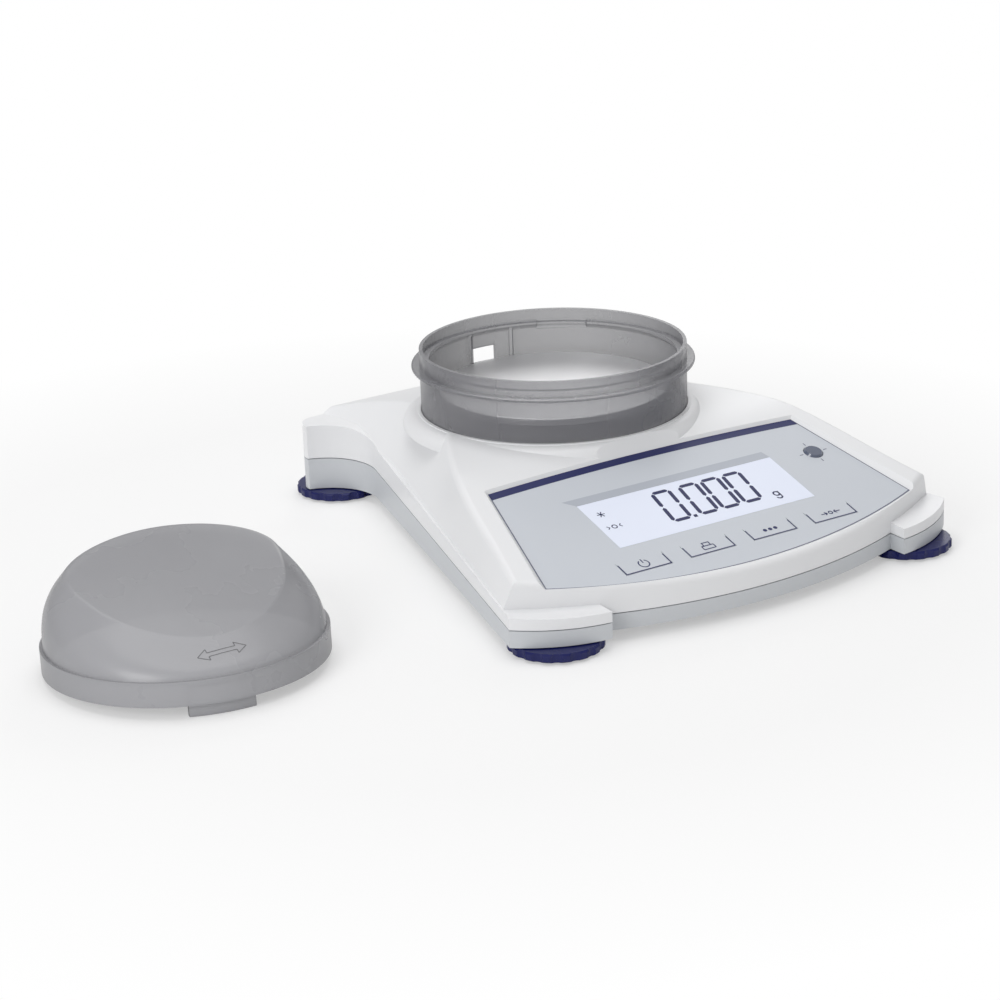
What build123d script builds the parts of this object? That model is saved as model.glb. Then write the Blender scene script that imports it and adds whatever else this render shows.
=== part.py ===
from build123d import *
import os
from math import atan, cos, degrees, radians, sin, sqrt

# Precision balance with a round draft shield, its lid lying beside it.
# Millimetres, +Z up, z = 0 is the table. Sizes are measured from the middle
# of the balance, +X to its right and -Y to its front, and the two values at
# the end of the sizes put the origin under the middle of balance and lid.

# Housing outline, seen from above
corner_x = 101.0
corner_y = -92.4
fascia_y = -111.8
pod_inner_x = 67.5
pod_step_y = -99.7
pod_front_y = -107.5
pod_bow = 3.4
waist_x = 55.0
waist_y = 74.0
waist_hollow_x = 57.6
waist_hollow_y = 92.5
rear_corner_x = 70.7
rear_corner_y = 102.0
rear_turn_x = 69.4
rear_turn_y = 107.6
rear_end_x = 64.0
rear_end_y = 110.6
rear_y = 113.5
edge_round = 1.6

# Housing heights and walls
wall = 2.4
lip_set = 1.4
lip_height = 2.0
lip_gap = 0.2
floor_z = 4.5
seam_z = 10.6
seam_slope = 0.0333
seam_gap = 0.4
panel_z = 22.1
panel_y = -91.2
panel_slope = 0.31
rim_rise = 2.3
rim_flare = 48.0
join_y = -25.0
join_radius = 70.0
deck_radius = 360.0
crown_y = 20.0
crown_z = 46.4
shelf_z = 15.6
shelf_slope = 0.065
shelf_bend_y = 68.0
wing_y = 92.0
wing_z = 31.0
wing_end_z = 32.6
crease_round = 2.6

# Flanks of the raised middle, as half widths high and low at five stations
flank_low_z = 10.0
flank_high_z = 48.0
flank_front_y = -120.0
flank_front_high = 94.0
flank_front_low = 107.5
flank_panel_y = -62.0
flank_panel_high = 85.4
flank_panel_low = 93.2
flank_strip_y = -28.0
flank_strip_high = 78.4
flank_strip_low = 83.7
flank_ring_y = 20.0
flank_ring_high = 53.5
flank_ring_low = 76.0
flank_waist_y = 66.0
flank_waist_high = 34.0
flank_waist_low = 73.0
flank_rear_y = 120.0
flank_rear_high = 24.0
flank_rear_low = 130.0

# Panel film, display window and keys
film_thick = 0.4
film_fit = 0.15
film_front_x = 84.3
film_rear_x = 71.3
film_length = 58.5
film_bulge = 14.6
film_rear_bulge = 2.4
window_x = 0.85
window_width = 90.8
window_length = 28.6
window_s = 25.2
window_fit = 0.1
window_ledge = 1.2
key_pitch = 28.9
key_x = 1.45
key_width = 20.3
key_length = 7.4
key_s = -0.4
key_gap = 0.25
key_travel = 0.4
key_relief = 0.5
key_post = 2.4
key_post_length = 3.6
key_hole_gap = 0.6
switch_size = 6.0
switch_height = 3.2

# Display parts under the panel
lcd_width = 98.0
lcd_length = 34.0
lcd_thick = 2.8
backlight_thick = 3.2
board_thick = 1.6
display_board_width = 112.0
display_board_length = 62.0
display_board_s = 19.0

# Bubble level
level_x = 65.0
level_s = 35.8
level_radius = 5.4
level_window = 4.0
level_height = 5.0
level_dome = 0.8
level_holder_wall = 1.6

# Draft shield ring
ring_y = 25.1
ring_radius = 52.9
ring_wall = 2.0
collar_wall = 1.45
flange_round = 0.6
ring_seat_z = 45.4
ring_gap = 0.3
pedestal_z = 46.4
pedestal_wall = 1.2
pedestal_flare = 6.0
well_radius = 48.6
well_z = 43.2
flange_radius = 56.1
flange_z = 64.0
flange_thick = 1.6
collar_top_z = 70.8
rebate_z = 66.6
ledge_radius = 49.0
ledge_thick = 1.4
ring_window_width = 11.9
ring_window_z = 51.5
ring_window_height = 6.5
rib_thick = 1.6
rib_reach = 1.9
rib_left = 14.0
rib_right = -8.0
notch_start = 38.5
notch_sweep = 23.5

# Lid
lid_gap = 0.3
lid_band = 8.85
lid_wall = 1.8
lid_step = 1.2
lid_ledge = 0.4
lid_x = -191.8
lid_y = -22.9
lid_turn = -12.8
lid_face_turn = 6.8
face_x = 39.2
face_front = 47.3
face_back = 22.0
face_y = 8.0
face_z = 33.1
face_slope = 0.34
face_power = 1.9
face_crown = 1.0
face_round = 2.6
skirt_bulge = 3.0
tab_width = 23.4
tab_thick = 1.8
tab_drop = 4.5
tab_ridge = 0.6
tab_grip = 6.0

# Pan, its support and the weighing cell
pan_radius = 46.5
pan_top_z = 54.0
pan_thick = 1.0
pan_lip = 2.6
pan_round = 1.2
hub_radius = 7.0
hub_gap = 1.5
spill_wall = 1.4
spill_height = 3.0
arm_width = 8.0
arm_thick = 3.0
arm_reach = 34.0
arm_count = 4
bumper_radius = 3.0
bumper_height = 2.0
cell_width = 26.0
cell_height = 19.0
cell_front_y = 12.0
cell_rear_y = 94.0
cell_foot = 22.0
cell_wall = 1.6
cell_hole = 4.2
cell_slot = 7.0
chassis_width = 32.0
chassis_thick = 4.0
chassis_edge = 4.0
spacer_thick = 1.8
screw_radius = 1.5
screw_head = 2.8
screw_head_height = 1.8
screw_spread = 12.0
stop_gap = 0.5
stop_radius = 2.0

# Levelling feet
foot_x = 81.5
foot_y = -92.4
foot_rear_x = 54.9
foot_rear_y = 105.0
foot_radius = 17.6
foot_rim = 3.2
foot_gap = 0.4
foot_flutes = 16
flute_radius = 3.4
flute_depth = 0.9
pad_radius = 12.0
pad_thick = 0.9
stud_radius = 3.0
stud_gap = 0.05
foot_travel = 3.0
stud_end_z = 12.2
insert_wall = 1.6
boss_wall = 1.8
boss_height = 8.2
housing_post = 3.6
housing_post_inset = 11.0
housing_post_front_y = -78.0
housing_post_rear_y = 84.0
housing_post_rear_x = 47.0

# Batteries
battery_count = 4
battery_radius = 7.1
battery_length = 49.2
battery_nub = 1.2
battery_nub_radius = 2.8
bay_y = -25.0
bay_gap = 0.4
bay_wall = 1.6
door_thick = 2.0
door_gap = 0.3
door_grip = 10.0
contact_thick = 0.6

# Board and sockets at the back
board_width = 24.0
board_length = 78.0
board_x = 31.0
board_y = 69.0
board_lift = 0.8
board_edge = 3.0
board_screw_span = 40.0
jack_x = 24.0
jack_width = 9.0
jack_height = 8.0
jack_depth = 13.4
jack_hole = 2.8
jack_hole_depth = 9.5
jack_pin = 0.95
port_x = 37.0
port_width = 9.0
port_height = 5.0
port_depth = 9.0
port_wall = 0.8
socket_inset = 1.0
socket_gap = 0.3

# Places worked out from the sizes above
panel_angle = degrees(atan(panel_slope))
lid_radius = ring_radius - collar_wall - lid_gap
tab_radius = lid_radius - lid_wall
tab_reach = sqrt((tab_radius - tab_thick) ** 2 - (tab_width / 2) ** 2)
lid_tilt = degrees(atan(tab_drop / (lid_radius + tab_reach)))
floor_top = floor_z + wall
cell_z = floor_top + chassis_thick + spacer_thick
cell_top = cell_z + cell_height
board_top = floor_top + board_lift + board_thick
lcd_depth = film_thick + wall
board_depth = lcd_depth + lcd_thick + backlight_thick
bay_width = battery_count * 2 * battery_radius + (battery_count + 1) * bay_gap
bay_length = battery_length + battery_nub + 2 * contact_thick + bay_gap
battery_z = floor_z + door_thick + door_gap + battery_radius
bay_top = battery_z + battery_radius + bay_gap
arm_top = pan_top_z - pan_thick - bumper_height
flange_low = flange_z - flange_thick / 2
balance_x = -(corner_x + lid_x - lid_radius) / 2
balance_y = -(fascia_y + foot_rear_y + foot_radius) / 2


def level(z, x=0.0, y=0.0):
    """A horizontal plane whose origin is a point of the balance."""
    return Plane((balance_x + x, balance_y + y, z))


def upright(x=0.0):
    """The balance's lengthwise plane: sketch X is +Y and sketch Y is +Z."""
    return Plane((balance_x + x, balance_y, 0), x_dir=(0, 1, 0), z_dir=(1, 0, 0))


def across(y):
    """A plane across the balance: sketch X is +X and sketch Y is +Z."""
    return Plane((balance_x, balance_y + y, 0), x_dir=(1, 0, 0), z_dir=(0, -1, 0))


def panel(depth=0.0, x=0.0, s=0.0):
    """The panel's plane, a depth below the film, at s up the slope."""
    a = radians(panel_angle)
    out = Vector(0, -sin(a), cos(a))
    up = Vector(0, cos(a), sin(a))
    origin = Vector(balance_x + x, balance_y + panel_y, panel_z) + up * s - out * depth
    return Plane(tuple(origin), x_dir=(1, 0, 0), z_dir=tuple(out))


def deck_height(y, drop=0.0):
    """Height of the curved deck behind the panel."""
    return crown_z - deck_radius + sqrt((deck_radius - drop) ** 2 - (y - crown_y) ** 2)


def save(part, name):
    """Label a finished piece and write its file."""
    part.part.label = name
    export_step(part.part, f"parts/{name}.step")


def draw_plan(plane, inset=0.0):
    """The housing's outline, or one inset from it by a wall."""
    step = pod_step_y - fascia_y
    bow = (pod_inner_x**2 + step**2) / (2 * step)
    middle = pod_inner_x / 2
    pod_x = (pod_inner_x + corner_x) / 2
    pod_y = (pod_front_y + corner_y) / 2 - pod_bow
    with BuildSketch(plane) as plan:
        with BuildLine():
            top = (0, fascia_y)
            arc_middle = (middle, fascia_y + bow - sqrt(bow**2 - middle**2))
            ThreePointArc(top, arc_middle, (pod_inner_x, pod_step_y))
            Line((pod_inner_x, pod_step_y), (pod_inner_x, pod_front_y))
            ThreePointArc((pod_inner_x, pod_front_y), (pod_x, pod_y), (corner_x, corner_y))
            Line((corner_x, corner_y), (waist_x, waist_y))
            hollow = (waist_hollow_x, waist_hollow_y)
            rear_corner = (rear_corner_x, rear_corner_y)
            ThreePointArc((waist_x, waist_y), hollow, rear_corner)
            rear_turn = (rear_turn_x, rear_turn_y)
            rear_end = (rear_end_x, rear_end_y)
            ThreePointArc(rear_corner, rear_turn, rear_end)
            back = rear_y - rear_end_y
            back_bow = (rear_end_x**2 + back**2) / (2 * back)
            half = rear_end_x / 2
            ThreePointArc(rear_end, (half, rear_y - back_bow + sqrt(back_bow**2 - half**2)), (0, rear_y))
            mirror(about=Plane.YZ)
        make_face()
        if inset > 0:
            offset(amount=-inset, kind=Kind.INTERSECTION)
    return plan


def draw_side(plane, rise, drop):
    """The raised middle seen from the side: panel, bend and deck."""
    front_y = fascia_y - 10
    line_z = panel_z + rise + (front_y - panel_y) * (deck_height(join_y) - panel_z - rise) / (
        join_y - panel_y
    )
    if drop > 0:
        line_z = panel_z - drop - film_thick + (front_y - panel_y) * panel_slope
    end_y = rear_y + 3
    with BuildSketch(plane) as profile:
        with BuildLine():
            Line((front_y, 0), (front_y, line_z))
            Line((front_y, line_z), (join_y, deck_height(join_y, drop)))
            bend = (crown_y, deck_height(crown_y, drop))
            ThreePointArc((join_y, deck_height(join_y, drop)), bend, (end_y, deck_height(end_y, drop)))
            Line((end_y, deck_height(end_y, drop)), (end_y, 0))
            Line((end_y, 0), (front_y, 0))
        make_face()
        corner = profile.vertices().sort_by_distance((join_y, deck_height(join_y, drop)))[0]
        fillet(corner, join_radius)
    return profile


def draw_shelf(plane, drop):
    """The low outer edge of the top, rising towards the rear feet."""
    front_y = fascia_y - 10
    end_y = rear_y + 5
    bend_z = shelf_z + shelf_slope * (shelf_bend_y - corner_y)
    with BuildSketch(plane) as profile:
        with BuildLine():
            Polyline(
                (front_y, 0),
                (front_y, shelf_z + shelf_slope * (front_y - corner_y) - drop),
                (shelf_bend_y, bend_z - drop),
                (wing_y, wing_z - drop),
                (end_y, wing_end_z - drop),
                (end_y, 0),
                close=True,
            )
        make_face()
    return profile


def draw_seam(plane, offset_z, above):
    """Everything above or below the sloping seam."""
    front_y = fascia_y - 20
    end_y = rear_y + 20
    far_z = 100 if above else -20
    front = seam_z + seam_slope * (front_y - fascia_y) + offset_z
    end = seam_z + seam_slope * (end_y - fascia_y) + offset_z
    with BuildSketch(plane) as profile:
        with BuildLine():
            Polyline((front_y, front), (end_y, end), (end_y, far_z), (front_y, far_z), close=True)
        make_face()
    return profile


def draw_flanks(inset):
    """Sections of the raised middle, for one smooth loft."""
    stations = [
        (flank_front_y, flank_front_high, flank_front_low),
        (flank_panel_y, flank_panel_high, flank_panel_low),
        (flank_strip_y, flank_strip_high, flank_strip_low),
        (flank_ring_y, flank_ring_high, flank_ring_low),
        (flank_waist_y, flank_waist_high, flank_waist_low),
        (flank_rear_y, flank_rear_high, flank_rear_low),
    ]
    faces = []
    for y, high, low in stations:
        lean = (low - high) / (flank_high_z - flank_low_z)
        side = inset * sqrt(1 + lean**2)
        top = high - side - lean * 2
        bottom = low - side + lean * flank_low_z
        with BuildSketch(across(y)) as section:
            with BuildLine():
                Polyline(
                    (-bottom, 0),
                    (bottom, 0),
                    (top, flank_high_z + 2),
                    (-top, flank_high_z + 2),
                    close=True,
                )
            make_face()
        faces.append(section.sketch)
    return faces


def housing_form(inset):
    """The housing's outside, or its hollow inside, as one solid."""
    step = pod_step_y - fascia_y
    bow = (pod_inner_x**2 + step**2) / (2 * step)
    drop = inset
    with BuildPart() as middle:
        loft(draw_flanks(inset))
        profile = draw_side(upright(), rim_rise, drop).sketch
        extrude(profile, amount=corner_x + 80, both=True, mode=Mode.INTERSECT)
        with BuildSketch(level(0)):
            with Locations((0, fascia_y + bow)):
                Circle(bow - inset)
        extrude(amount=60, mode=Mode.INTERSECT)
    with BuildPart() as form:
        rise = draw_shelf(upright(), drop).sketch
        extrude(rise, amount=corner_x + 20, both=True)
        add(middle.part)
        extrude(draw_plan(level(0), inset).sketch, amount=60, mode=Mode.INTERSECT)
        if inset == 0:
            fillet(form.edges().filter_by(is_crease), crease_round)
    return form.part


def is_crease(edge):
    """The top edges of the raised middle, along its flanks and front."""
    at = edge @ 0.5
    y = at.Y - balance_y
    line = panel_z + panel_slope * (min(y, join_y) - panel_y)
    return at.Z > line - 1 and y < rear_y - 4


def seam_height(y):
    """Height of the seam at a distance behind the middle."""
    return seam_z + seam_slope * (y - fascia_y)


def shelf_height(y):
    """Height of the top's low outer edge."""
    bend_z = shelf_z + shelf_slope * (shelf_bend_y - corner_y)
    if y < shelf_bend_y:
        return shelf_z + shelf_slope * (y - corner_y)
    return bend_z + (wing_z - bend_z) * (y - shelf_bend_y) / (wing_y - shelf_bend_y)


def draw_film(plane, grow=0.0):
    """The panel film's outline: straight sides, bowed front and rear."""
    front_x = film_front_x
    rear_x = film_rear_x
    with BuildSketch(plane) as film:
        with BuildLine():
            Line((front_x, 0), (rear_x, film_length))
            ThreePointArc((rear_x, film_length), (0, film_length + film_rear_bulge), (-rear_x, film_length))
            Line((-rear_x, film_length), (-front_x, 0))
            ThreePointArc((-front_x, 0), (0, -film_bulge), (front_x, 0))
        make_face()
        if grow > 0:
            offset(amount=grow, kind=Kind.INTERSECTION)
    return film.sketch


key_places = [key_x + key_pitch * (i - 1.5) for i in range(4)]
key_names = ["key_zero", "key_print", "key_function", "key_tare"]
foot_places = {
    "front_left": (-foot_x, foot_y),
    "front_right": (foot_x, foot_y),
    "rear_left": (-foot_rear_x, foot_rear_y),
    "rear_right": (foot_rear_x, foot_rear_y),
}
post_x = corner_x - housing_post_inset
post_places = [
    (-post_x, housing_post_front_y),
    (post_x, housing_post_front_y),
    (-housing_post_rear_x, housing_post_rear_y),
    (housing_post_rear_x, housing_post_rear_y),
]
os.makedirs("parts", exist_ok=True)

# Top cover: the outside form, hollowed, cut off at the seam
outside = housing_form(0.0)
inside = housing_form(wall)
flare_top = ring_radius + ring_gap + pedestal_wall
with BuildPart() as posts:
    for x, y in post_places:
        with BuildSketch(level(seam_height(y) + lip_height, x, y)):
            Circle(housing_post)
        extrude(amount=crown_z)
    add(outside, mode=Mode.INTERSECT)
cover_under = film_thick + wall
with BuildPart() as top_cover:
    add(outside)
    with BuildSketch(upright()):
        with BuildLine():
            ring_in = ring_y
            foot_r = flare_top + pedestal_flare
            low = pedestal_z - pedestal_flare
            Polyline((ring_in, low), (ring_in, pedestal_z), (ring_in + flare_top, pedestal_z))
            Line((ring_in + flare_top, pedestal_z), (ring_in + flare_top, pedestal_z - 0.4))
            RadiusArc((ring_in + flare_top, pedestal_z - 0.4), (ring_in + foot_r, low - 0.4), pedestal_flare)
            Polyline((ring_in + foot_r, low - 0.4), (ring_in, low - 0.4), (ring_in, low))
        make_face()
    revolve(axis=Axis((balance_x, balance_y + ring_y, 0), (0, 0, 1)))
    add(inside, mode=Mode.SUBTRACT)
    with BuildSketch(level(well_z - wall, 0, ring_y)):
        Circle(well_radius + wall)
    extrude(amount=pedestal_z - well_z + wall - 1)
    with BuildSketch(level(well_z, 0, ring_y)):
        Circle(well_radius)
    extrude(amount=30, mode=Mode.SUBTRACT)
    with BuildSketch(level(ring_seat_z, 0, ring_y)):
        Circle(ring_radius + ring_gap)
    extrude(amount=30, mode=Mode.SUBTRACT)
    with BuildSketch(level(well_z, 0, ring_y)):
        Circle(hub_radius + hub_gap + spill_wall)
    extrude(amount=spill_height)
    with BuildSketch(level(0, 0, ring_y)):
        Circle(hub_radius + hub_gap)
    extrude(amount=60, mode=Mode.SUBTRACT)
    extrude(draw_film(panel(film_thick), film_fit), amount=film_thick, mode=Mode.SUBTRACT)
    extrude(draw_film(panel(), film_fit), amount=6, taper=-rim_flare, mode=Mode.SUBTRACT)
    with BuildSketch(panel(0, window_x, window_s)):
        Rectangle(window_width - 2 * window_ledge, window_length - 2 * window_ledge)
    extrude(amount=-cover_under * 2, mode=Mode.SUBTRACT)
    with BuildSketch(panel(film_thick, key_x, key_s - key_gap / 2)):
        with GridLocations(key_pitch, 1, 4, 1):
            Rectangle(key_width + 2 * key_gap, key_length + key_gap)
    extrude(amount=-key_relief, mode=Mode.SUBTRACT)
    with BuildSketch(panel(0, key_x, key_s)):
        with GridLocations(key_pitch, 1, 4, 1):
            Circle(key_post + key_hole_gap)
    extrude(amount=-cover_under * 2, mode=Mode.SUBTRACT)
    with BuildSketch(panel(0, level_x, level_s)):
        Circle(level_radius + window_fit)
    extrude(amount=-cover_under * 2, mode=Mode.SUBTRACT)
    add(posts.part)
    for x, y in post_places:
        with BuildSketch(level(0, x, y)):
            Circle(screw_radius)
        extrude(amount=shelf_height(y) - wall, mode=Mode.SUBTRACT)
    with BuildPart(mode=Mode.PRIVATE) as rebate:
        extrude(draw_plan(level(0), lip_set - lip_gap).sketch, amount=60)
        above_lip = draw_seam(upright(), lip_height + lip_gap, True).sketch
        extrude(above_lip, amount=200, both=True, mode=Mode.SUBTRACT)
    add(rebate.part, mode=Mode.SUBTRACT)
    below_seam = draw_seam(upright(), 0, False).sketch
    extrude(below_seam, amount=200, both=True, mode=Mode.SUBTRACT)
save(top_cover, "top_cover")

# Bottom cover: a tray with a lip inside the seam, bosses and battery bay
with BuildPart() as bottom_lip:
    extrude(draw_plan(level(floor_z), lip_set).sketch, amount=40)
    above_lip = draw_seam(upright(), lip_height, True).sketch
    extrude(above_lip, amount=200, both=True, mode=Mode.SUBTRACT)
with BuildPart() as bottom_cover:
    extrude(draw_plan(level(floor_z)).sketch, amount=40)
    above_seam = draw_seam(upright(), -seam_gap, True).sketch
    extrude(above_seam, amount=200, both=True, mode=Mode.SUBTRACT)
    add(bottom_lip.part)
    extrude(draw_plan(level(floor_top), wall).sketch, amount=60, mode=Mode.SUBTRACT)
    for x, y in foot_places.values():
        with BuildSketch(level(floor_z, x, y)):
            Circle(stud_radius + stud_gap + insert_wall + boss_wall)
        extrude(amount=boss_height)
        with BuildSketch(level(floor_z, x, y)):
            Circle(stud_radius + stud_gap + insert_wall)
        extrude(amount=boss_height, mode=Mode.SUBTRACT)
    for x, y in post_places:
        with BuildSketch(level(floor_z, x, y)):
            Circle(housing_post)
        extrude(amount=seam_height(y) + lip_height - floor_z)
        with BuildSketch(level(floor_z, x, y)):
            Circle(screw_radius)
        extrude(amount=30, mode=Mode.SUBTRACT)
        with BuildSketch(level(floor_z, x, y)):
            Circle(screw_head)
        extrude(amount=screw_head_height + 1, mode=Mode.SUBTRACT)
    with BuildSketch(level(floor_z, 0, bay_y)):
        Rectangle(bay_width + 2 * bay_wall, bay_length + 2 * bay_wall)
    extrude(amount=bay_top + bay_wall - floor_z)
    with BuildSketch(level(floor_z, 0, bay_y)):
        Rectangle(bay_width, bay_length)
    extrude(amount=bay_top - floor_z, mode=Mode.SUBTRACT)
    with BuildSketch(level(floor_top, board_x, board_y)):
        with GridLocations(board_width - 2 * board_edge, board_screw_span, 2, 2):
            Circle(screw_head)
    extrude(amount=board_lift)
    for x, width, height in ((jack_x, jack_width, jack_height), (port_x, port_width, port_height)):
        with BuildSketch(level(board_top - socket_gap, x, rear_y)):
            Rectangle(width + 2 * socket_gap, 4 * wall + 4)
        extrude(amount=height + 2 * socket_gap, mode=Mode.SUBTRACT)
save(bottom_cover, "bottom_cover")

# Panel film with its window, level hole and four keys left out
with BuildPart() as panel_film:
    extrude(draw_film(panel(film_thick)), amount=film_thick)
    with BuildSketch(panel(0, window_x, window_s)):
        Rectangle(window_width, window_length)
    extrude(amount=-film_thick, mode=Mode.SUBTRACT)
    with BuildSketch(panel(0, level_x, level_s)):
        Circle(level_window)
    extrude(amount=-film_thick, mode=Mode.SUBTRACT)
    with BuildSketch(panel(0, key_x, key_s - key_gap / 2)):
        with GridLocations(key_pitch, 1, 4, 1):
            Rectangle(key_width + 2 * key_gap, key_length + key_gap)
    extrude(amount=-film_thick, mode=Mode.SUBTRACT)
save(panel_film, "panel_film")

# Keys: a patch of the film, joined to it along its rear edge, on a post that
# reaches its switch
key_reach = board_depth - switch_height - key_travel - film_thick - 0.1
for name, x in zip(key_names, key_places):
    with BuildPart() as key:
        with BuildSketch(panel(film_thick, x, key_s)):
            Rectangle(key_width, key_length)
        extrude(amount=film_thick)
        with BuildSketch(panel(film_thick, x, key_s)):
            Circle(key_post)
        extrude(amount=-key_reach)
    save(key, name)

# Display: clear window, glass module, backlight and board
with BuildPart() as lcd_window:
    with BuildSketch(panel(film_thick, window_x, window_s)):
        Rectangle(window_width - 2 * window_fit, window_length - 2 * window_fit)
    extrude(amount=film_thick)
    with BuildSketch(panel(film_thick, window_x, window_s)):
        inset = 2 * window_ledge + 2 * window_fit
        Rectangle(window_width - inset, window_length - inset)
    extrude(amount=-wall)
save(lcd_window, "lcd_window")
with BuildPart() as lcd_module:
    with BuildSketch(panel(lcd_depth, window_x, window_s)):
        Rectangle(lcd_width, lcd_length)
    extrude(amount=-lcd_thick)
save(lcd_module, "lcd_module")
with BuildPart() as backlight:
    with BuildSketch(panel(lcd_depth + lcd_thick, window_x, window_s)):
        Rectangle(lcd_width, lcd_length)
    extrude(amount=-backlight_thick)
save(backlight, "backlight")
with BuildPart() as display_board:
    with BuildSketch(panel(board_depth, window_x, display_board_s)):
        Rectangle(display_board_width, display_board_length)
    extrude(amount=-board_thick)
save(display_board, "display_board")
with BuildPart() as key_switches:
    with BuildSketch(panel(board_depth, key_x, key_s)):
        with GridLocations(key_pitch, 1, 4, 1):
            Rectangle(switch_size, switch_size)
    extrude(amount=switch_height - 1)
    with BuildSketch(panel(board_depth, key_x, key_s)):
        with GridLocations(key_pitch, 1, 4, 1):
            Circle(switch_size / 4)
    extrude(amount=switch_height)
save(key_switches, "key_switches")

# Bubble level in its cup under the film
with BuildPart() as level_vial:
    with BuildSketch(panel(film_thick, level_x, level_s)):
        Circle(level_radius)
    extrude(amount=-level_height)
    with BuildSketch(panel(film_thick, level_x, level_s)):
        Circle(level_window - window_fit)
    extrude(amount=film_thick + level_dome, taper=30)
save(level_vial, "level_vial")
with BuildPart() as level_holder:
    with BuildSketch(panel(lcd_depth, level_x, level_s)):
        Circle(level_radius + window_fit + level_holder_wall)
    extrude(amount=-(level_height - wall + level_holder_wall))
    with BuildSketch(panel(lcd_depth, level_x, level_s)):
        Circle(level_radius + window_fit)
    extrude(amount=-(level_height - wall), mode=Mode.SUBTRACT)
save(level_holder, "level_holder")


def spoke(angle):
    """An upright plane through the ring's axis, an angle right of the back."""
    a = radians(angle)
    origin = (balance_x, balance_y + ring_y, 0)
    return Plane(origin, x_dir=(sin(a), cos(a), 0), z_dir=(cos(a), -sin(a), 0))


# Draft shield ring: flange, collar with a rebate for the lid, ribs, window
ring_axis = Axis((balance_x, balance_y + ring_y, 0), (0, 0, 1))
ring_inner = ring_radius - ring_wall
with BuildPart() as shield_ring:
    with BuildSketch(spoke(0)) as ring_section:
        with BuildLine():
            Polyline(
                (ring_inner, ring_seat_z),
                (ring_radius, ring_seat_z),
                (ring_radius, flange_low),
                (flange_radius, flange_low),
                (flange_radius, flange_low + flange_thick),
                (ring_radius, flange_low + flange_thick),
                (ring_radius, collar_top_z),
                (ring_radius - collar_wall, collar_top_z),
                (ring_radius - collar_wall, rebate_z),
                (ledge_radius, rebate_z),
                (ledge_radius, rebate_z - ledge_thick),
                (ring_inner, rebate_z - ledge_thick - ring_wall),
                close=True,
            )
        make_face()
        tips = ring_section.vertices().group_by(Axis.X)[-1]
        fillet(tips, flange_round)
    revolve(axis=ring_axis)
    with BuildSketch(level(ring_window_z, 0, ring_y + ring_radius)):
        Rectangle(ring_window_width, 4 * ring_wall)
    extrude(amount=ring_window_height, mode=Mode.SUBTRACT)
    for angle in (rib_left, rib_right):
        with BuildSketch(spoke(angle)):
            with Locations((ring_inner + (ring_wall - rib_reach) / 2, (pedestal_z + rebate_z) / 2)):
                Rectangle(ring_wall + rib_reach - 1, rebate_z - pedestal_z - ledge_thick)
        extrude(amount=rib_thick / 2, both=True)
    with BuildSketch(spoke(notch_start + notch_sweep / 2)):
        with Locations((ring_inner - ring_wall, rebate_z)):
            Rectangle(2 * ring_wall + collar_wall / 2, 4 * ring_wall)
    revolve(axis=ring_axis, revolution_arc=notch_sweep, mode=Mode.SUBTRACT)
save(shield_ring, "shield_ring")

# Lid, lying on its tab and its far rim
tilt = radians(lid_tilt)
turn = radians(lid_turn)
lid_place = Plane(
    (balance_x + lid_x, balance_y + lid_y, lid_radius * sin(tilt)),
    x_dir=(cos(turn), sin(turn), 0),
    z_dir=(-sin(turn) * sin(tilt), cos(turn) * sin(tilt), cos(tilt)),
).location
face_place = lid_place * Location((0, 0, 0), (0, 0, lid_face_turn))


def lid_level(z):
    """A plane across the lid, a height above its rim."""
    return Plane(lid_place * Location((0, 0, z)))


def power(value):
    """One coordinate of the face's rounded outline."""
    return abs(value) ** (2 / face_power) * (1 if value > 0 else -1)


def lid_section(share, inset):
    """An outline between the band's circle (0) and the sloping face (1)."""
    slope = atan(face_slope)
    z = lid_band + share * (face_z - inset - lid_band)
    lean = share * slope
    points = []
    for i in range(24):
        angle = radians(15 * i)
        depth = face_back if sin(angle) > 0 else face_front
        face = Vector(power(cos(angle)) * (face_x - inset), face_y + power(sin(angle)) * (depth - inset) * cos(slope))
        foot = lid_radius - lid_step - inset
        ring = Vector(cos(angle), sin(angle)) * foot
        out = Vector(cos(angle), sin(angle)) * skirt_bulge * 4 * max(share * (1 - share), 0)
        at = ring * (1 - share) + face * share + out
        points.append((at.X, (at.Y - face_y * share) / cos(lean)))
    slanted = Plane((0, face_y * share, z), x_dir=(1, 0, 0), z_dir=(0, -sin(lean), cos(lean)))
    with BuildSketch(Plane(face_place * slanted.location)) as section:
        with BuildLine():
            Spline(*points, periodic=True)
        make_face()
    return section.sketch


def lid_form(inset):
    """The lid's dome over its band, or the hollow under it."""
    slope = atan(face_slope)
    out = Vector(0, -sin(slope), cos(slope))
    half = face_x**2 / (2 * face_crown)
    apex = Vector(0, face_y, face_z) + Vector(0, cos(slope), sin(slope)) * (face_back - face_front) / 2
    middle = apex + out * (face_crown - half)
    ball = face_place * Location(tuple(middle))
    with BuildPart() as form:
        loft([lid_section(share, inset) for share in (0, 0.3, 0.6, 1.0, 1.12)])
        with Locations(ball):
            Sphere(half - inset, mode=Mode.INTERSECT)
        if inset == 0:
            rim = form.faces().filter_by(GeomType.SPHERE)[0].edges()
            fillet(rim, face_round)
    return form.part


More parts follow.
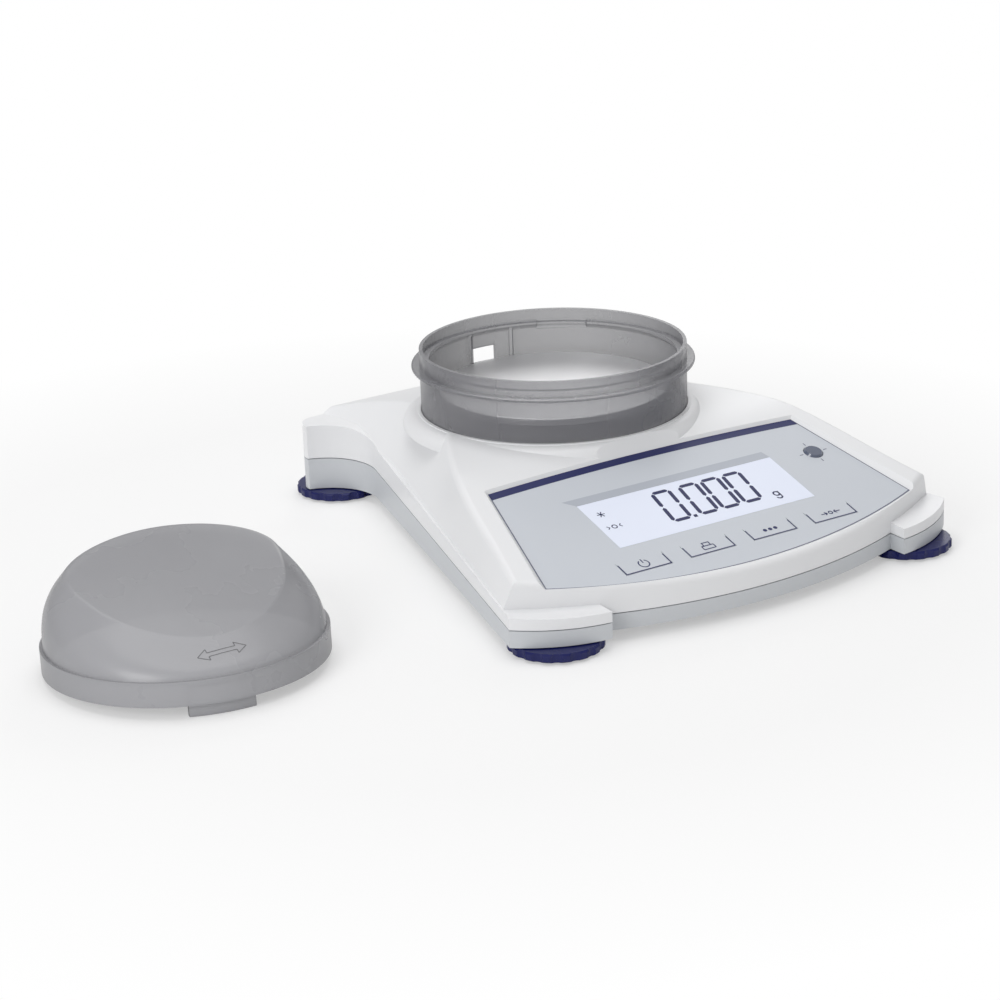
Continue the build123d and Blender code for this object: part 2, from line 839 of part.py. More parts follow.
dome = lid_form(0)
hollow = lid_form(lid_wall)
with BuildPart() as shield_lid:
    add(dome)
    with BuildSketch(lid_level(0)):
        Circle(lid_radius)
    extrude(amount=lid_band)
    add(hollow, mode=Mode.SUBTRACT)
    with BuildSketch(lid_level(0)):
        Circle(lid_radius - lid_wall)
    extrude(amount=lid_band - lid_wall, mode=Mode.SUBTRACT)
    with BuildSketch(lid_level(0)):
        Circle(lid_radius - lid_wall - lid_step - lid_ledge)
    extrude(amount=lid_band + lid_ledge, mode=Mode.SUBTRACT)
    with BuildSketch(lid_level(-tab_drop)) as tab:
        with BuildLine():
            side = tab_width / 2
            outer = sqrt(tab_radius**2 - side**2)
            ThreePointArc((-side, -outer), (0, -tab_radius), (side, -outer))
            Line((side, -outer), (side, -tab_reach))
            ThreePointArc((side, -tab_reach), (0, tab_thick - tab_radius), (-side, -tab_reach))
            Line((-side, -tab_reach), (-side, -outer))
        make_face()
    extrude(amount=tab_drop + tab_grip)
save(shield_lid, "shield_lid")

# Pan: a flat disc with a turned-down lip and a locating ring beneath
with BuildPart() as weighing_pan:
    with BuildSketch(level(pan_top_z, 0, ring_y)):
        Circle(pan_radius)
    extrude(amount=-pan_lip)
    fillet(weighing_pan.edges().group_by(Axis.Z)[-1], pan_round)
    with BuildSketch(level(pan_top_z - pan_thick, 0, ring_y)):
        Circle(pan_radius - pan_thick)
    extrude(amount=-pan_lip, mode=Mode.SUBTRACT)
    with BuildSketch(level(pan_top_z - pan_thick, 0, ring_y)):
        Circle(arm_reach + bumper_height + pan_thick)
        Circle(arm_reach + bumper_height, mode=Mode.SUBTRACT)
    extrude(amount=pan_thick - pan_lip)
save(weighing_pan, "weighing_pan")

# Pan support: a hub on the cell with arms, a rubber bumper on each
with BuildPart() as pan_support:
    with BuildSketch(level(cell_top, 0, ring_y)):
        Circle(hub_radius)
    extrude(amount=arm_top - cell_top)
    with BuildSketch(level(arm_top, 0, ring_y)):
        with PolarLocations(0, arm_count // 2, 45, 180):
            SlotOverall(2 * arm_reach, arm_width)
    extrude(amount=-arm_thick)
save(pan_support, "pan_support")
with BuildPart() as pan_bumpers:
    with BuildSketch(level(arm_top, 0, ring_y)):
        with PolarLocations(arm_reach - arm_width / 2, arm_count, 45):
            Circle(bumper_radius)
    extrude(amount=bumper_height)
save(pan_bumpers, "pan_bumpers")

# Weighing cell: one block cut into two thin-walled parallel beams
cell_width_half = cell_width / 2
with BuildPart() as load_cell:
    with BuildSketch(upright()):
        with Locations(((cell_front_y + cell_rear_y) / 2, cell_z + cell_height / 2)):
            Rectangle(cell_rear_y - cell_front_y, cell_height)
        hole_z = cell_height / 2 - cell_wall - cell_hole
        span = cell_rear_y - cell_front_y - 2 * cell_foot - 2 * cell_hole
        with Locations(((cell_front_y + cell_rear_y) / 2, cell_z + cell_height / 2)):
            with GridLocations(span, 2 * hole_z, 2, 2):
                Circle(cell_hole, mode=Mode.SUBTRACT)
            Rectangle(span, cell_slot, mode=Mode.SUBTRACT)
            with GridLocations(span, 1, 2, 1):
                Rectangle(cell_hole, 2 * hole_z, mode=Mode.SUBTRACT)
    extrude(amount=cell_width_half, both=True)
save(load_cell, "load_cell")

# Chassis plate under the cell, spacer at its fixed end and overload stops
with BuildPart() as cell_chassis:
    with BuildSketch(level(floor_top, 0, (cell_front_y + cell_rear_y) / 2)):
        Rectangle(chassis_width, cell_rear_y - cell_front_y + 2 * chassis_edge)
    extrude(amount=chassis_thick)
    fillet(cell_chassis.edges().filter_by(Axis.Z), chassis_edge)
save(cell_chassis, "cell_chassis")
with BuildPart() as cell_spacer:
    with BuildSketch(level(floor_top + chassis_thick, 0, cell_rear_y - cell_foot / 2)):
        Rectangle(cell_width, cell_foot)
    extrude(amount=spacer_thick)
save(cell_spacer, "cell_spacer")
with BuildPart() as cell_screws:
    with BuildSketch(level(cell_top, 0, cell_rear_y - cell_foot / 2)):
        with GridLocations(screw_spread, 1, 2, 1):
            Circle(screw_head)
    extrude(amount=screw_head_height)
save(cell_screws, "cell_screws")
with BuildPart() as overload_stops:
    with BuildSketch(level(floor_top + chassis_thick, 0, cell_front_y + cell_foot / 2)):
        with GridLocations(screw_spread, 1, 2, 1):
            Circle(stop_radius)
    extrude(amount=spacer_thick - stop_gap)
save(overload_stops, "overload_stops")

# Main board with its screws and the two sockets in the rear wall
with BuildPart() as main_board:
    with BuildSketch(level(floor_top + board_lift, board_x, board_y)):
        Rectangle(board_width, board_length)
    extrude(amount=board_thick)
save(main_board, "main_board")
with BuildPart() as board_screws:
    with BuildSketch(level(board_top, board_x, board_y)):
        with GridLocations(board_width - 2 * board_edge, board_screw_span, 2, 2):
            Circle(screw_head)
    extrude(amount=screw_head_height)
save(board_screws, "board_screws")
socket_y = rear_y - wall / 2 - socket_inset
with BuildPart() as power_jack:
    with BuildSketch(level(board_top, jack_x, socket_y - jack_depth / 2)):
        Rectangle(jack_width, jack_depth)
    extrude(amount=jack_height)
    with BuildSketch(across(socket_y)):
        with Locations((jack_x, board_top + jack_height / 2)):
            Circle(jack_hole)
    extrude(amount=jack_hole_depth, mode=Mode.SUBTRACT)
    with BuildSketch(across(socket_y - jack_hole_depth)):
        with Locations((jack_x, board_top + jack_height / 2)):
            Circle(jack_pin)
    extrude(amount=-(jack_hole_depth - 1))
save(power_jack, "power_jack")
with BuildPart() as interface_port:
    with BuildSketch(across(socket_y)):
        with Locations((port_x, board_top + port_height / 2)):
            Rectangle(port_width, port_height)
            Rectangle(port_width - 2 * port_wall, port_height - 2 * port_wall, mode=Mode.SUBTRACT)
    extrude(amount=port_depth)
    with BuildSketch(across(socket_y - port_depth)):
        with Locations((port_x, board_top + port_height / 2)):
            Rectangle(port_width, port_height)
    extrude(amount=port_wall)
save(interface_port, "interface_port")

# Batteries side by side in the bay, contacts at both ends, door below
with BuildPart() as batteries:
    with BuildSketch(across(bay_y - battery_length / 2 - battery_nub / 2)):
        with Locations((0, battery_z)):
            with GridLocations(2 * battery_radius + bay_gap, 1, battery_count, 1):
                Circle(battery_radius)
    extrude(amount=-battery_length)
    with BuildSketch(across(bay_y + battery_length / 2 - battery_nub / 2)):
        with Locations((0, battery_z)):
            with GridLocations(2 * battery_radius + bay_gap, 1, battery_count, 1):
                Circle(battery_nub_radius)
    extrude(amount=-battery_nub)
save(batteries, "batteries")
with BuildPart() as battery_contacts:
    for end in (-1, 1):
        with BuildSketch(level(battery_z - battery_radius, 0, bay_y + end * (bay_length - contact_thick) / 2)):
            Rectangle(bay_width - 2 * bay_gap, contact_thick)
        extrude(amount=2 * battery_radius)
save(battery_contacts, "battery_contacts")
with BuildPart() as battery_door:
    with BuildSketch(level(floor_z, 0, bay_y)):
        Rectangle(bay_width - 2 * door_gap, bay_length - 2 * door_gap)
    extrude(amount=door_thick)
    with BuildSketch(level(floor_z, 0, bay_y - bay_length / 4)):
        with GridLocations(1, 3, 1, 3):
            SlotOverall(2 * door_grip, 1.2)
    extrude(amount=door_thick / 3, mode=Mode.SUBTRACT)
save(battery_door, "battery_door")

# Housing screws from below
with BuildPart() as housing_screws:
    for x, y in post_places:
        with BuildSketch(level(floor_z + 1, x, y)):
            Circle(screw_head)
        extrude(amount=screw_head_height)
        with BuildSketch(level(floor_z + 1, x, y)):
            Circle(screw_radius)
        extrude(amount=shelf_height(y) - wall - floor_z - 1.5)
save(housing_screws, "housing_screws")

# Levelling feet: pad, fluted thumb wheel, stud and brass insert
for name, (x, y) in foot_places.items():
    with BuildPart() as foot_pad:
        with BuildSketch(level(0, x, y)):
            Circle(pad_radius)
        extrude(amount=pad_thick)
    save(foot_pad, "foot_pad_" + name)
    with BuildPart() as foot_wheel:
        with BuildSketch(level(pad_thick, x, y)):
            Circle(foot_radius)
        extrude(amount=foot_rim)
        chamfer(foot_wheel.edges().group_by(Axis.Z)[-1], foot_rim / 5)
        chamfer(foot_wheel.edges().group_by(Axis.Z)[0], foot_rim / 8)
        with BuildSketch(level(0, x, y)):
            with PolarLocations(foot_radius + flute_radius - flute_depth, foot_flutes, 180 / foot_flutes):
                Circle(flute_radius)
        extrude(amount=2 * foot_rim, mode=Mode.SUBTRACT)
    save(foot_wheel, "foot_wheel_" + name)
    with BuildPart() as foot_stud:
        with BuildSketch(level(pad_thick + foot_rim, x, y)):
            Circle(stud_radius)
        extrude(amount=stud_end_z - pad_thick - foot_rim)
    save(foot_stud, "foot_stud_" + name)
    with BuildPart() as foot_insert:
        with BuildSketch(level(floor_z + 0.5, x, y)):
            Circle(stud_radius + stud_gap + insert_wall)
            Circle(stud_radius + stud_gap, mode=Mode.SUBTRACT)
        extrude(amount=boss_height - 0.5)
    save(foot_insert, "foot_insert_" + name)
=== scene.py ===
import bpy
from math import atan, cos, pi, radians, sin, sqrt
from mathutils import Matrix, Vector
from mathutils.bvhtree import BVHTree


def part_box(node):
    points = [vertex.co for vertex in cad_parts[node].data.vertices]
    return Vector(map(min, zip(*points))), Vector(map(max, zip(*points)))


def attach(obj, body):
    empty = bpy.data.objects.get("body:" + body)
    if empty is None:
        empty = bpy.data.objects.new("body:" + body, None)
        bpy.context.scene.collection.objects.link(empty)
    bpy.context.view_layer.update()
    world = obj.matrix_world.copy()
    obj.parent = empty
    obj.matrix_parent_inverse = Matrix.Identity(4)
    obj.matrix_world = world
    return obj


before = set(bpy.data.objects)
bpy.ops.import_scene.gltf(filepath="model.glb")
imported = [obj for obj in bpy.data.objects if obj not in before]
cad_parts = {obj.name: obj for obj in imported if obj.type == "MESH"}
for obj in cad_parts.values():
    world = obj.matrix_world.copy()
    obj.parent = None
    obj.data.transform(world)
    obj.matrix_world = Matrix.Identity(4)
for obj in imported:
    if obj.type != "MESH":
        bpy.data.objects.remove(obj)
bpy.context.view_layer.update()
scene = bpy.context.scene

# View: a long lens from the front left, a little above the bench, that takes
# in the balance and its lid. Sizes are in metres from here on, and the
# balance's middle is found from its feet.
feet = {
    name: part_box("foot_pad_" + name)
    for name in ("front_left", "front_right", "rear_left", "rear_right")
}
left_low, left_high = feet["front_left"]
right_high = feet["front_right"][1]
foot_from_middle = 0.0924
middle_x = (left_low[0] + right_high[0]) / 2
middle_y = (left_low[1] + left_high[1]) / 2 + foot_from_middle
azimuth = radians(-32.708)
elevation = radians(19.230)
roll = radians(-2.128)
eye_left = 0.581298
eye_front = 0.837490
eye_height = 0.368738
back = Vector((sin(azimuth) * cos(elevation), -cos(azimuth) * cos(elevation), sin(elevation)))
right = (-back).cross(Vector((0, 0, 1))).normalized()
up = right.cross(-back)
tilted_right = right * cos(roll) + up * sin(roll)
tilted_up = up * cos(roll) - right * sin(roll)
camera_data = bpy.data.cameras.new("camera")
camera_data.sensor_width = 36
camera_data.lens = 98.454
camera_data.clip_end = 20
camera = bpy.data.objects.new("camera", camera_data)
turned = Matrix((tilted_right, tilted_up, back)).transposed().to_4x4()
eye = Vector((middle_x - eye_left, middle_y - eye_front, eye_height))
camera.matrix_world = Matrix.Translation(eye) @ turned
scene.collection.objects.link(camera)
scene.camera = camera

# Covers: two injection-moulded shells, glossy white above and light grey
# below, with a very fine spark texture and faint handling marks. The grain
# group gives every moulded finish its uneven sheen and fine bump.
cloud_scale = 28
cloud_detail = 4
speck_scale = 2600
speck_detail = 2
sheen_spread = 0.12
grain_depth = 0.00002
grain = bpy.data.node_groups.new("moulded_grain", "ShaderNodeTree")
for label, kind in (
    ("Color", "NodeSocketColor"),
    ("Variation", "NodeSocketFloat"),
    ("Roughness", "NodeSocketFloat"),
):
    grain.interface.new_socket(label, in_out="INPUT", socket_type=kind)
for label, kind in (
    ("Color", "NodeSocketColor"),
    ("Roughness", "NodeSocketFloat"),
    ("Height", "NodeSocketFloat"),
):
    grain.interface.new_socket(label, in_out="OUTPUT", socket_type=kind)
entry = grain.nodes.new("NodeGroupInput")
leave = grain.nodes.new("NodeGroupOutput")
place = grain.nodes.new("ShaderNodeTexCoord")
cloud = grain.nodes.new("ShaderNodeTexNoise")
cloud.inputs["Scale"].default_value = cloud_scale
cloud.inputs["Detail"].default_value = cloud_detail
speck = grain.nodes.new("ShaderNodeTexNoise")
speck.inputs["Scale"].default_value = speck_scale
speck.inputs["Detail"].default_value = speck_detail
shade = grain.nodes.new("ShaderNodeMapRange")
shade.inputs["To Min"].default_value = -0.5
shade.inputs["To Max"].default_value = 0.5
amount = grain.nodes.new("ShaderNodeMath")
amount.operation = "MULTIPLY"
bright = grain.nodes.new("ShaderNodeMath")
bright.operation = "ADD"
bright.inputs[1].default_value = 1
colour = grain.nodes.new("ShaderNodeHueSaturation")
rough = grain.nodes.new("ShaderNodeMath")
rough.operation = "MULTIPLY_ADD"
rough.inputs[1].default_value = sheen_spread
for source, target in (
    (place.outputs["Object"], cloud.inputs["Vector"]),
    (place.outputs["Object"], speck.inputs["Vector"]),
    (cloud.outputs["Fac"], shade.inputs["Value"]),
    (shade.outputs["Result"], amount.inputs[0]),
    (entry.outputs["Variation"], amount.inputs[1]),
    (amount.outputs[0], bright.inputs[0]),
    (entry.outputs["Color"], colour.inputs["Color"]),
    (bright.outputs[0], colour.inputs["Value"]),
    (colour.outputs["Color"], leave.inputs["Color"]),
    (cloud.outputs["Fac"], rough.inputs[0]),
    (entry.outputs["Roughness"], rough.inputs[2]),
    (rough.outputs[0], leave.inputs["Roughness"]),
    (speck.outputs["Fac"], leave.inputs["Height"]),
):
    grain.links.new(source, target)


def moulded(name, colour, roughness, variation, bump_strength, **settings):
    """A finish with moulded grain; settings name the shader's own sockets."""
    material = bpy.data.materials.new(name)
    material.use_nodes = True
    nodes = material.node_tree.nodes
    links = material.node_tree.links
    shader = nodes["Principled BSDF"]
    finish = nodes.new("ShaderNodeGroup")
    finish.node_tree = grain
    finish.inputs["Color"].default_value = (*colour, 1)
    finish.inputs["Variation"].default_value = variation
    finish.inputs["Roughness"].default_value = roughness
    bump = nodes.new("ShaderNodeBump")
    bump.inputs["Distance"].default_value = grain_depth
    bump.inputs["Strength"].default_value = bump_strength
    links.new(finish.outputs["Color"], shader.inputs["Base Color"])
    links.new(finish.outputs["Roughness"], shader.inputs["Roughness"])
    links.new(finish.outputs["Height"], bump.inputs["Height"])
    links.new(bump.outputs["Normal"], shader.inputs["Normal"])
    for socket, value in settings.items():
        shader.inputs[socket.replace("_", " ")].default_value = value
    return material


def dress(node, material):
    """Give a piece of the frame its finish."""
    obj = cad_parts[node]
    if not obj.material_slots:
        obj.data.materials.append(material)
    for spot in obj.material_slots:
        spot.material = material
    return obj


white = moulded("white_moulding", (0.84, 0.845, 0.86), 0.30, 0.015, 0.15)
pale_grey = moulded("grey_moulding", (0.60, 0.62, 0.645), 0.36, 0.03, 0.3)
dress("top_cover", white)
dress("bottom_cover", pale_grey)
dress("battery_door", pale_grey)

# Panel: a printed polyester film laid in the cover's recess, cool grey with
# a navy band along its rear edge and a dark outline. The print is ink a few
# hundredths of a millimetre thick; its sizes are in millimetres on the panel.
panel_slope = atan(0.31)
panel_from_middle = -0.0912
panel_height = 0.0221
ink_thick = 0.00003
millimetres = 1000


def on_panel(x, s):
    """The place of the ink: metres across and up the slope of the film."""
    rise = Vector((0, cos(panel_slope), sin(panel_slope)))
    out = Vector((0, -sin(panel_slope), cos(panel_slope)))
    start = Vector((middle_x, middle_y + panel_from_middle, panel_height))
    return start + Vector((x, 0, 0)) + rise * s + out * ink_thick


def ink(name, shapes, material, body):
    """Flat printed shapes, each a list of panel points in millimetres."""
    mesh = bpy.data.meshes.new(name)
    points = []
    faces = []
    for shape in shapes:
        faces.append(list(range(len(points), len(points) + len(shape))))
        points += [on_panel(x / millimetres, s / millimetres) for x, s in shape]
    mesh.from_pydata(points, [], faces)
    mesh.materials.append(material)
    obj = bpy.data.objects.new(name, mesh)
    scene.collection.objects.link(obj)
    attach(obj, body)


def bar(x0, s0, x1, s1, width):
    """A printed line from one point to another."""
    length = sqrt((x1 - x0) ** 2 + (s1 - s0) ** 2)
    across_x = -(s1 - s0) / length * width / 2
    across_s = (x1 - x0) / length * width / 2
    return [
        (x0 - across_x, s0 - across_s),
        (x1 - across_x, s1 - across_s),
        (x1 + across_x, s1 + across_s),
        (x0 + across_x, s0 + across_s),
    ]


def arc(x, s, radius, start, end, width, steps=24):
    """A printed arc as short bars."""
    turns = [radians(start + (end - start) * i / steps) for i in range(steps + 1)]
    low = radius - width / 2
    high = radius + width / 2
    inner = [(x + low * cos(t), s + low * sin(t)) for t in turns]
    outer = [(x + high * cos(t), s + high * sin(t)) for t in turns]
    return [[inner[i], inner[i + 1], outer[i + 1], outer[i]] for i in range(steps)]


film_grey = moulded("panel_film", (0.60, 0.63, 0.68), 0.30, 0.02, 0.2)
navy = moulded("navy_ink", (0.006, 0.011, 0.10), 0.35, 0.05, 0.1)
outline_ink = moulded("outline_ink", (0.12, 0.13, 0.20), 0.4, 0.05, 0.1)
dress("panel_film", film_grey)
film_front = 84.3
film_rear = 71.3
film_length = 58.5
front_bulge = 14.6
rear_bulge = 2.4
corner_slant = 1.1
side_slant = 0.22
band_width = 3.9
outline_width = 0.35
film_steps = 40


def film_rear_edge(share, inset=0):
    """A point along the film's rear edge, from -1 at the left to 1."""
    half = film_rear + inset * side_slant
    bow = (half**2 + rear_bulge**2) / (2 * rear_bulge)
    x = half * share
    return (x, film_length - inset + (rear_bulge - bow + sqrt(bow**2 - x**2)))


def film_front_edge(share, inset=0):
    """A point along the film's front edge, from -1 at the left to 1."""
    half = film_front - inset * corner_slant
    bow = (half**2 + front_bulge**2) / (2 * front_bulge)
    x = half * share
    return (x, inset - (front_bulge - bow + sqrt(bow**2 - x**2)))


def strip(edge, width):
    """A printed strip that follows an edge of the film."""
    shares = [2 * i / film_steps - 1 for i in range(film_steps + 1)]
    return [[edge(a), edge(b), edge(b, width), edge(a, width)] for a, b in zip(shares, shares[1:])]


ink("navy_band", strip(film_rear_edge, band_width), navy, "housing")
outline = strip(film_front_edge, outline_width)
for side in (-1, 1):
    front_x = side * (film_front - outline_width / 2)
    rear_x = side * (film_rear - outline_width / 2)
    outline.append(bar(front_x, 0, rear_x, film_length, outline_width))
ink("film_outline", outline, outline_ink, "housing")

# Keys: four patches of the film, each printed with a three-sided bracket and
# a plain sign, that dip under a finger. A sign's strokes are in millimetres
# from the middle of its key.
key_pitch = 28.9
key_middle = 1.45
key_s = -0.4
bracket_half = 9.9
bracket_low = -3.45
bracket_high = 2.5
pen = 0.5
power_arc = (2.1, 120, 420, pen)
dot_arc = (0.45, 0, 360, 0.85, 12)
zero_arc = (0.8, 0, 360, pen, 16)
dot_pitch = 2.4
key_arcs = {
    "key_zero": [(0, power_arc)],
    "key_print": [],
    "key_function": [(-dot_pitch, dot_arc), (0, dot_arc), (dot_pitch, dot_arc)],
    "key_tare": [(0, zero_arc)],
}
key_strokes = {
    "key_zero": [(0, 0.4, 0, 2.7)],
    "key_print": [
        (-2.6, -1.6, 2.6, -1.6),
        (-2.6, 0.4, 2.6, 0.4),
        (-2.6, -1.6, -2.6, 0.4),
        (2.6, -1.6, 2.6, 0.4),
        (-1.5, 2.2, 1.5, 2.2),
        (-1.5, 0.4, -1.5, 2.4),
        (1.5, 0.4, 1.5, 2.4),
    ],
    "key_function": [],
    "key_tare": [
        (-4.4, 0, -1.6, 0),
        (1.6, 0, 4.4, 0),
        (-2.6, 0.9, -1.6, 0),
        (-2.6, -0.9, -1.6, 0),
        (2.6, 0.9, 1.6, 0),
        (2.6, -0.9, 1.6, 0),
    ],
}
bracket = [
    (-bracket_half - pen / 2, bracket_low, bracket_half + pen / 2, bracket_low),
    (-bracket_half, bracket_low, -bracket_half, bracket_high),
    (bracket_half, bracket_low, bracket_half, bracket_high),
]
for i, key in enumerate(key_strokes):
    x = key_middle + key_pitch * (i - 1.5)
    dress(key, film_grey)
    sign = []
    for x0, s0, x1, s1 in bracket + key_strokes[key]:
        sign.append(bar(x + x0, key_s + s0, x + x1, key_s + s1, pen))
    for step, shape in key_arcs[key]:
        sign += arc(x + step, key_s, *shape)
    ink(key + "_sign", sign, navy, key)

# Display: a liquid crystal glass lit evenly from behind, under a clear window
# with a darker grey band above it; the digits are dark navy segments.
display_colour = (0.76, 0.80, 0.92)
display = moulded("display_face", display_colour, 0.12, 0.01, 0.02)
display_shader = display.node_tree.nodes["Principled BSDF"]
display_shader.inputs["Emission Color"].default_value = (*display_colour, 1)
display_shader.inputs["Emission Strength"].default_value = 0.12
segment_ink = moulded("display_segments", (0.006, 0.010, 0.085), 0.3, 0.02, 0.02)
shade_ink = moulded("display_shade", (0.46, 0.49, 0.55), 0.3, 0.02, 0.1)
dress("lcd_window", display)
window_left = -44.5
window_right = 46.2
window_high = 39.5
shade_left = -48.5
shade_right = 45.2
shade_high = 43.6
shade_shape = [
    (shade_left, shade_high),
    (window_left, window_high),
    (window_right, window_high),
    (shade_right, shade_high),
]
ink("window_shade", [shade_shape], shade_ink, "housing")
digit_places = (-15.2, -2.6, 7.7, 18.0)
digit_low = 17.6
digit_high = 35.6
digit_middle = (digit_low + digit_high) / 2
digit_width = 7.6
digit_lean = 2.2
digit_pen = 1.7
segment_gap = 0.25
point_s = 17.5
point_left = -6.3
point_right = -4.7
point_height = 1.6


def lean(x, s):
    """Slope a display point to the right with its height."""
    return (x + digit_lean * (s - digit_low) / (digit_high - digit_low), s)


def lying_segment(x0, x1, s):
    """A display segment that lies across, pointed at both ends."""
    half = digit_pen / 2
    left = x0 + half
    right = x1 - half
    shape = [(x0, s), (left, s - half), (right, s - half), (x1, s), (right, s + half), (left, s + half)]
    return [lean(*point) for point in shape]


def upright_segment(x, s0, s1):
    """A display segment that stands, pointed at both ends."""
    half = digit_pen / 2
    low = s0 + half
    high = s1 - half
    shape = [(x, s0), (x + half, low), (x + half, high), (x, s1), (x - half, high), (x - half, low)]
    return [lean(*point) for point in shape]


digits = []
for x in digit_places:
    end = x + digit_width
    digits.append(lying_segment(x + segment_gap, end - segment_gap, digit_low))
    digits.append(lying_segment(x + segment_gap, end - segment_gap, digit_high))
    for side in (x, end):
        digits.append(upright_segment(side, digit_low + segment_gap, digit_middle - segment_gap))
        digits.append(upright_segment(side, digit_middle + segment_gap, digit_high - segment_gap))
point = bar(point_left, point_s, point_right, point_s, point_height)
digits.append([lean(x, s) for x, s in point])
ink("display_digits", digits, segment_ink, "housing")

# Display signs: the unit at the right, and at the left a small star above
# the sign for a steady zero, all dark segments of the same glass.
unit_x = 32.9
unit_pen = 0.7
unit_radius = 1.2
unit_bowl_s = 17.9
unit_tail_s = 16.0
unit_stem = (34.1, 15.9, 34.1, 19.2)
star_x = -38.9
star_s = 31.6
star_reach = 1.7
star_pen = 0.42
zero_x = -38.5
zero_s = 23.2
zero_radius = 1.0
zero_pen = 0.45
tick_near = 2.2
tick_far = 3.1
tick_rise = 0.9
tick_pen = 0.4
signs = arc(unit_x, unit_bowl_s, unit_radius, 0, 360, unit_pen)
signs += arc(unit_x, unit_tail_s, unit_radius, 190, 350, unit_pen)
signs.append(bar(*unit_stem, unit_pen))
for turn in (0, 60, 120):
    dx = star_reach * cos(radians(turn))
    ds = star_reach * sin(radians(turn))
    signs.append(bar(star_x - dx, star_s - ds, star_x + dx, star_s + ds, star_pen))
signs += arc(zero_x, zero_s, zero_radius, 0, 360, zero_pen)
for side in (-1, 1):
    near = zero_x + side * tick_near
    far = zero_x + side * tick_far
    signs.append(bar(far, zero_s + tick_rise, near, zero_s, tick_pen))
    signs.append(bar(far, zero_s - tick_rise, near, zero_s, tick_pen))
ink("display_signs", signs, segment_ink, "housing")

# Bubble level: a dark domed vial pushed into its cup from above, with four
# marks printed round it on the film.
vial = moulded("level_vial", (0.11, 0.13, 0.19), 0.08, 0.1, 0.05, Coat_Weight=1.0)
dress("level_vial", vial)
level_x = 65.0
level_s = 35.8
mark_start = 4.9
mark_end = 6.6
mark_pen = 0.4
marks = []
for turn in range(4):
    dx = cos(turn * pi / 2)
    ds = sin(turn * pi / 2)
    start = (level_x + mark_start * dx, level_s + mark_start * ds)
    end = (level_x + mark_end * dx, level_s + mark_end * ds)
    marks.append(bar(*start, *end, mark_pen))
ink("level_marks", marks, outline_ink, "housing")

# Draft shield: a ring and a lid moulded in frosted smoke-grey polycarbonate.
# It lets light through, and looks denser where the eye meets it at a slant;
# the darker tint there is painted shade.
slant_blend = 0.35


def smoky(name, colour, painted_edge_shade, density, edge_density):
    """Frosted see-through plastic, denser at its edges, its tint darkened there as painted shade."""
    material = moulded(name, colour, 0.22, 0.08, 0.5)
    nodes = material.node_tree.nodes
    links = material.node_tree.links
    shader = nodes["Principled BSDF"]
    finish = shader.inputs["Base Color"].links[0].from_node
    slant = nodes.new("ShaderNodeLayerWeight")
    slant.inputs["Blend"].default_value = slant_blend
    # Painted shade: the tint darkens towards a darker edge colour where the eye meets the surface at a
    # slant.
    tint = nodes.new("ShaderNodeMix")
    tint.data_type = "RGBA"
    tint.inputs["A"].default_value = (*colour, 1)
    tint.inputs["B"].default_value = (*painted_edge_shade, 1)
    dense = nodes.new("ShaderNodeMapRange")
    dense.inputs["To Min"].default_value = density
    dense.inputs["To Max"].default_value = edge_density
    links.new(slant.outputs["Facing"], tint.inputs["Factor"])
    links.new(tint.outputs["Result"], finish.inputs["Color"])
    links.new(slant.outputs["Facing"], dense.inputs["Value"])
    links.new(dense.outputs["Result"], shader.inputs["Alpha"])
    return material


# The ring is the same plastic as the lid; its darker grey is painted shade from the dim inside seen
# through it.
ring_smoke_shaded = smoky("smoke_ring_painted_shade", (0.28, 0.28, 0.30), (0.16, 0.16, 0.175), 0.48, 0.90)
lid_smoke = smoky("smoke_lid", (0.46, 0.46, 0.485), (0.20, 0.20, 0.21), 0.72, 0.96)
dress("shield_ring", ring_smoke_shaded)
lid = dress("shield_lid", lid_smoke)

# Lid arrow: the outline of a double arrow on the lid's sloping face, above
# the grip tab, drawn as thin dark lines laid on its surface here.
lid_shape = BVHTree.FromPolygons(
    [v.co for v in lid.data.vertices],
    [list(face.vertices) for face in lid.data.polygons],
)
lid_low, lid_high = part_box("shield_lid")
lid_middle = (lid_low + lid_high) / 2
arrow_from_middle = Vector((-0.0067, -0.0412, -0.0014))
arrow_middle = lid_middle + arrow_from_middle
arrow_along = Vector((0.0181, -0.0012, 0.0005)).normalized()
arrow_out = lid_shape.find_nearest(arrow_middle)[1]
arrow_up = arrow_out.cross(arrow_along).normalized()
arrow_half = 0.009
arrow_head = 0.0038
arrow_neck = arrow_half - arrow_head
arrow_pen = 0.00035
arrow_barb = 0.0026
arrow_shaft = 0.0009
arrow_steps = 8
arrow_thick = 0.00005
strokes = []
for rise in (-1, 1):
    strokes.append(((-arrow_neck, rise * arrow_shaft), (arrow_neck, rise * arrow_shaft)))
    for side in (-1, 1):
        barb = (side * arrow_neck, rise * arrow_barb)
        strokes.append(((side * arrow_half, 0), barb))
        strokes.append((barb, (side * arrow_neck, rise * arrow_shaft)))
points = []
faces = []
for (u0, v0), (u1, v1) in strokes:
    length = sqrt((u1 - u0) ** 2 + (v1 - v0) ** 2)
    du = -(v1 - v0) / length * arrow_pen / 2
    dv = (u1 - u0) / length * arrow_pen / 2
    for i in range(arrow_steps):
        near = i / arrow_steps
        far = (i + 1) / arrow_steps
        faces.append(list(range(len(points), len(points) + 4)))
        for share, side in ((near, -1), (far, -1), (far, 1), (near, 1)):
            u = u0 + (u1 - u0) * share + side * du
            v = v0 + (v1 - v0) * share + side * dv
            target = arrow_middle + arrow_along * u + arrow_up * v
            spot, out = lid_shape.find_nearest(target)[:2]
            points.append(spot + out * arrow_thick)
arrow_mesh = bpy.data.meshes.new("lid_arrow")
arrow_mesh.from_pydata(points, [], faces)
arrow_mesh.materials.append(moulded("lid_arrow", (0.12, 0.12, 0.13), 0.3, 0.05, 0.1))
arrow = bpy.data.objects.new("lid_arrow", arrow_mesh)
scene.collection.objects.link(arrow)
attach(arrow, "lid")

